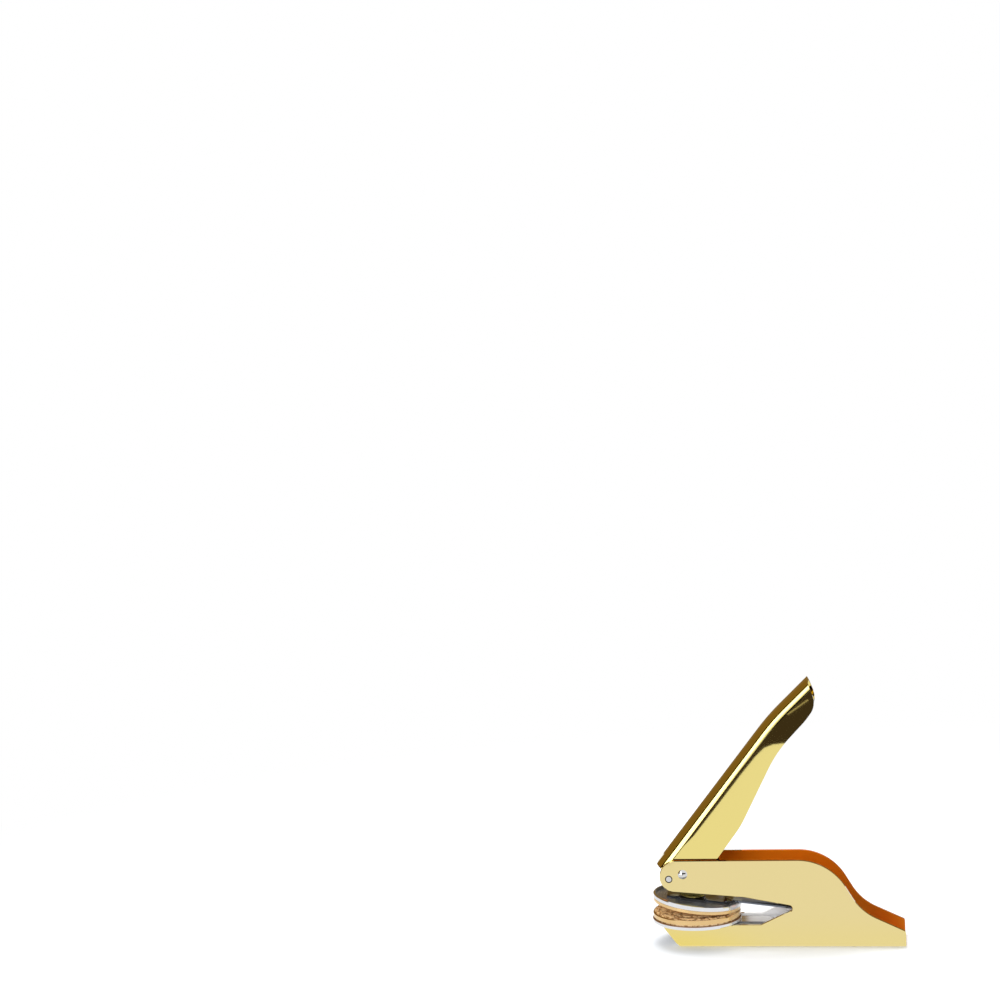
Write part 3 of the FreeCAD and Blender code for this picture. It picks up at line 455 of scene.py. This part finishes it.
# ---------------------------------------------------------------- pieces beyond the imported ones


def new_piece(name, shape, finish, bend_angle=35):
    """Puts a modelled shape into the scene with its finish; bends stay smooth, corners sharp."""
    bmesh.ops.recalc_face_normals(shape, faces=shape.faces)
    for face in shape.faces:
        face.smooth = True
    mesh = bpy.data.meshes.new(name)
    shape.to_mesh(mesh)
    shape.free()
    mesh.set_sharp_from_angle(angle=math.radians(bend_angle))
    piece = bpy.data.objects.new(name, mesh)
    bpy.context.scene.collection.objects.link(piece)
    mesh.materials.append(FINISHES[finish])
    return piece


def bending_leaf():
    """The spring strip, cut across every few millimetres along its length."""
    strip = nodes["leaf_spring"]
    cuts = 30
    weld = 0.002 * MM
    shape = bmesh.new()
    shape.from_mesh(strip.data)
    bmesh.ops.transform(shape, matrix=strip.matrix_world, verts=shape.verts)
    bmesh.ops.remove_doubles(shape, verts=shape.verts, dist=weld)
    strip_low, strip_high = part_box("leaf_spring")
    for step in range(1, cuts):
        spot = strip_low.lerp(strip_high, step / cuts)
        parts = shape.verts[:] + shape.edges[:] + shape.faces[:]
        bmesh.ops.bisect_plane(shape, geom=parts, plane_co=spot, plane_no=(1, 0, 0))
    leaf = new_piece("bending_leaf", shape, "spring_steel")
    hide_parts("leaf_spring")
    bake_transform(leaf)


def round_the_disc(shape, made, angle):
    """Turns newly made corners about the die's axis."""
    turn = Matrix.Rotation(angle, 3, "Z")
    bmesh.ops.rotate(shape, cent=ORIGIN, matrix=turn, verts=made)


def bead_row():
    """Raised beads round the upper die's face; each sinks into its pit when the press closes."""
    shape = bmesh.new()
    for index in range(BEADS):
        made = bmesh.ops.create_icosphere(shape, subdivisions=2, radius=1.0)["verts"]
        bmesh.ops.scale(shape, vec=(bead_radius, bead_radius, bead_height), verts=made)
        bmesh.ops.translate(shape, vec=(bead_row_radius, 0, 0), verts=made)
        round_the_disc(shape, made, math.tau * index / BEADS)
    parts = shape.verts[:] + shape.edges[:] + shape.faces[:]
    bmesh.ops.bisect_plane(shape, geom=parts, plane_co=ORIGIN, plane_no=Z_AXIS, clear_outer=True)
    bmesh.ops.transform(shape, matrix=upper_disc, verts=shape.verts)
    beads = new_piece("upper_bead_row", shape, "die_brass")
    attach(beads, "upper_die")


def bead_pits():
    """Thin bars across the lower die's outer groove: they part the pits of the beads."""
    shape = bmesh.new()
    for index in range(BEADS):
        made = bmesh.ops.create_cube(shape, size=1.0)["verts"]
        bmesh.ops.scale(shape, vec=(bead_groove, pit_bar, groove_depth), verts=made)
        bmesh.ops.translate(shape, vec=(bead_row_radius, 0, -groove_depth / 2), verts=made)
        round_the_disc(shape, made, math.tau * (index + 0.5) / BEADS)
    bmesh.ops.translate(shape, vec=lower_face, verts=shape.verts)
    bars = new_piece("lower_bead_pits", shape, "die_brass")
    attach(bars, "cassette")


def star_corners(far, close):
    """Corners of a plain five-pointed star, from one point round to the next."""
    corners = []
    for index in range(10):
        reach = close if index % 2 else far
        corners.append(Matrix.Rotation(math.tau * index / 10, 3, "Z") @ Vector((reach, 0, 0)))
    return corners


def raised_star():
    """A plain star on the upper die's middle, faceted from its centre."""
    shape = bmesh.new()
    corners = star_corners(star_reach, star_reach * STAR_WAIST)
    base = [shape.verts.new(corner) for corner in corners]
    middle = shape.verts.new((0, 0, -bead_height))
    for index, corner in enumerate(base):
        shape.faces.new((corner, base[(index + 1) % 10], middle))
    shape.faces.new(base)
    bmesh.ops.transform(shape, matrix=upper_disc, verts=shape.verts)
    star = new_piece("upper_star", shape, "die_brass", 5)
    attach(star, "upper_die")


def star_field():
    """The lower die's middle, level with its face, with the star's hollow through it."""
    point_room, waist_room, sunk = 0.5 * MM, 0.35 * MM, 0.05 * MM
    shape = bmesh.new()
    bmesh.ops.create_circle(shape, segments=80, radius=field_radius)
    edges = shape.edges[:]
    corners = star_corners(star_reach + point_room, star_reach * STAR_WAIST + waist_room)
    hollow = [shape.verts.new(corner) for corner in corners]
    edges += [shape.edges.new((corner, hollow[(index + 1) % 10])) for index, corner in enumerate(hollow)]
    bmesh.ops.triangle_fill(shape, use_beauty=True, edges=edges)
    rise = bmesh.ops.extrude_face_region(shape, geom=shape.faces[:])["geom"]
    top = [part for part in rise if isinstance(part, bmesh.types.BMVert)]
    bmesh.ops.translate(shape, vec=(0, 0, groove_depth - sunk), verts=top)
    bmesh.ops.translate(shape, vec=lower_face - Vector((0, 0, groove_depth)), verts=shape.verts)
    field = new_piece("lower_star_field", shape, "die_brass", 20)
    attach(field, "cassette")


# ---------------------------------------------------------------- floor, light and camera


def light_path(tree, names):
    """One socket that is 1 for any of the named kinds of ray."""
    path = tree.nodes.new("ShaderNodeLightPath")
    found = path.outputs[names[0]]
    for name in names[1:]:
        either = tree.nodes.new("ShaderNodeMath")
        either.operation = "MAXIMUM"
        tree.links.new(found, either.inputs[0])
        tree.links.new(path.outputs[name], either.inputs[1])
        found = either.outputs[0]
    return found


def stage_floor():
    """Pale floor that keeps the object's shadow and turns plain white away from it."""
    mesh = bpy.data.meshes.new("floor")
    shape = bmesh.new()
    bmesh.ops.create_grid(shape, x_segments=1, y_segments=1, size=4.0)
    shape.to_mesh(mesh)
    shape.free()
    floor = bpy.data.objects.new("floor", mesh)
    bpy.context.scene.collection.objects.link(floor)
    finish = Finish("pale_floor", (0.88, 0.90, 0.93), 0.0, 0.6, specular_ior_level=0.0)
    x, y = finish.axes()[:2]
    shadow_reach, white_from = 0.15, 0.6
    far = finish.range(finish.radius(x, y), shadow_reach, white_from, 0, 1)
    mirrored = Value(finish, light_path(finish.tree, ("Is Glossy Ray", "Is Transmission Ray")))
    white = finish.math("MAXIMUM", far, mirrored)
    glow = finish.add("ShaderNodeEmission", {}, {"Color": (1, 1, 1, 1), "Strength": 1.0})
    shown = finish.tree.nodes.new("ShaderNodeMixShader")
    finish.feed(shown.inputs[0], white)
    finish.tree.links.new(finish.shader.outputs[0], shown.inputs[1])
    finish.feed(shown.inputs[2], glow)
    finish.tree.links.new(shown.outputs[0], finish.tree.nodes["Material Output"].inputs[0])
    mesh.materials.append(finish.material)


def flat(*corners):
    """Corners of a card that lies on the floor."""
    return [(x, y, 1 * MM) for x, y in corners]


def upright(start, end, low, high):
    """Corners of a card that stands on a line of the floor plan."""
    return [(*start, low), (*end, low), (*end, high), (*start, high)]


def studio_card(name, corners, tint, strength=1.0):
    """A card beside the view, lit from within: the polished metal mirrors its tone and its outline."""
    shape = bmesh.new()
    shape.faces.new([shape.verts.new(corner) for corner in corners])
    mesh = bpy.data.meshes.new(name)
    shape.to_mesh(mesh)
    shape.free()
    card = bpy.data.objects.new(name, mesh)
    bpy.context.scene.collection.objects.link(card)
    finish = Finish(name, (0, 0, 0), 0.0, 1.0, specular_ior_level=0.0)
    finish.set("Emission Color", (*tint, 1))
    finish.set("Emission Strength", strength)
    mesh.materials.append(finish.material)
    card.visible_camera = False
    card.visible_shadow = False
    card.visible_diffuse = False


def soft_lamp(name, spot, aim, size, power, mirrored=True):
    """A square lamp; one that isn't mirrored lights only what has no mirror polish."""
    data = bpy.data.lights.new(name, "AREA")
    data.shape = "RECTANGLE"
    data.size, data.size_y = size
    data.energy = power
    lamp = bpy.data.objects.new(name, data)
    lamp.visible_glossy = mirrored
    lamp.location = spot
    lamp.rotation_euler = (Vector(aim) - Vector(spot)).to_track_quat("-Z", "Y").to_euler()
    bpy.context.scene.collection.objects.link(lamp)


def studio_world():
    """White all round where it is seen, a little less where it lights."""
    lighting, seen_white = 0.95, 1.0
    world = bpy.data.worlds.new("studio")
    world.use_nodes = True
    bpy.context.scene.world = world
    tree = world.node_tree
    seen = light_path(tree, ("Is Camera Ray", "Is Glossy Ray", "Is Transmission Ray"))
    strength = tree.nodes.new("ShaderNodeMapRange")
    strength.inputs["To Min"].default_value = lighting
    strength.inputs["To Max"].default_value = seen_white
    tree.links.new(seen, strength.inputs["Value"])
    background = tree.nodes["Background"]
    background.inputs["Color"].default_value = (1, 1, 1, 1)
    tree.links.new(strength.outputs[0], background.inputs["Strength"])


def studio_camera():
    """A long lens a metre away, a little above and to the right of the mouth."""
    spot = Vector((48.3, -992.6, 291.4)) * MM
    yaw, pitch, roll = (math.radians(angle) for angle in (10.36, -3.67, -2.92))
    ahead = Vector((-math.sin(yaw) * math.cos(pitch), math.cos(yaw) * math.cos(pitch), math.sin(pitch)))
    level = Vector((math.cos(yaw), math.sin(yaw), 0))
    above = level.cross(ahead)
    right = level * math.cos(roll) + above * math.sin(roll)
    up = above * math.cos(roll) - level * math.sin(roll)
    data = bpy.data.cameras.new("camera")
    data.lens = 72
    data.sensor_width = 36
    data.clip_start = 0.01
    camera = bpy.data.objects.new("camera", data)
    camera.matrix_world = Matrix.Translation(spot) @ Matrix((right, up, -ahead)).transposed().to_4x4()
    bpy.context.scene.collection.objects.link(camera)
    bpy.context.scene.camera = camera


BLACK = (0.012, 0.010, 0.008)
DARK_WOOD = (0.24, 0.14, 0.035)
DEEP_BROWN = (0.052, 0.038, 0.028)
SLIT_TONE = (0.55, 0.50, 0.40)
WHITE = (1, 1, 1)
CARD_LIGHT = 3.6
LEFT, RIGHT, BACK, FRONT = -0.75, 0.9, 0.28, -1.3


def studio_lamps():
    """One lamp overhead that makes the shadow, and a fill in front for what isn't polished."""
    soft_lamp("overhead", (-0.12, 0.26, 0.95), (0, 0, 0), (0.6, 0.6), 4.6)
    soft_lamp("front_fill", (0.02, -0.90, 0.26), (0, 0, 0.015), (0.3, 0.3), 4.5, mirrored=False)


def floor_cards():
    """The dark card in front, whose hollow edge curves over the grip, its thin slit, and a lit card."""
    hollow = [
        (-0.092, -0.16), (-0.072, -0.18), (-0.063, -0.24), (-0.053, -0.338), (-0.045, -0.418),
        (-0.038, -0.483), (-0.033, -0.515), (-0.027, -0.528), (-0.018, -0.532),
    ]
    rest = [(RIGHT, -0.54), (RIGHT, -1.25), (-0.31, -1.25), (-0.106, -0.34)]
    studio_card("floor_flag", flat(*hollow, *rest), DEEP_BROWN)
    slit = [(-0.0210, -0.650), (-0.0198, -0.648), (-0.0050, -0.716), (-0.0062, -0.718)]
    studio_card("floor_slit", [(x, y, 2 * MM) for x, y in slit], SLIT_TONE)
    lit = [(-0.112, -0.18), (-0.125, -0.34), (-0.225, -0.80), (-0.33, -1.25), (-0.8, -1.1), (-0.35, -0.20)]
    studio_card("low_light", flat(*lit), WHITE, CARD_LIGHT)


def standing_cards():
    """Wood tones at the left and the back, black in front, and white strips between them."""
    studio_card("front_flag", upright((-0.30, FRONT), (1.5, FRONT), 0.0, 0.5), BLACK)
    studio_card("side_flag", upright((LEFT, -0.66), (LEFT, -0.40), 0.0, 1.0), BLACK)
    studio_card("side_wood", upright((LEFT, -0.40), (LEFT, BACK), 0.0, 1.0), DARK_WOOD)
    studio_card("back_wood", upright((LEFT, BACK), (RIGHT, BACK), 0.0, 1.0), DARK_WOOD)
    studio_card("back_light", upright((-0.036, 0.274), (0.07, 0.274), 0.050, 0.092), WHITE)
    studio_card("side_light", upright((-0.80, -0.66), (-0.42, -1.0), 0.0, 0.75), WHITE, CARD_LIGHT)


bpy.context.scene.view_settings.view_transform = "Standard"
dress_nodes()
bending_leaf()
bead_row()
bead_pits()
raised_star()
star_field()
stage_floor()
studio_world()
studio_camera()
studio_lamps()
floor_cards()
standing_cards()
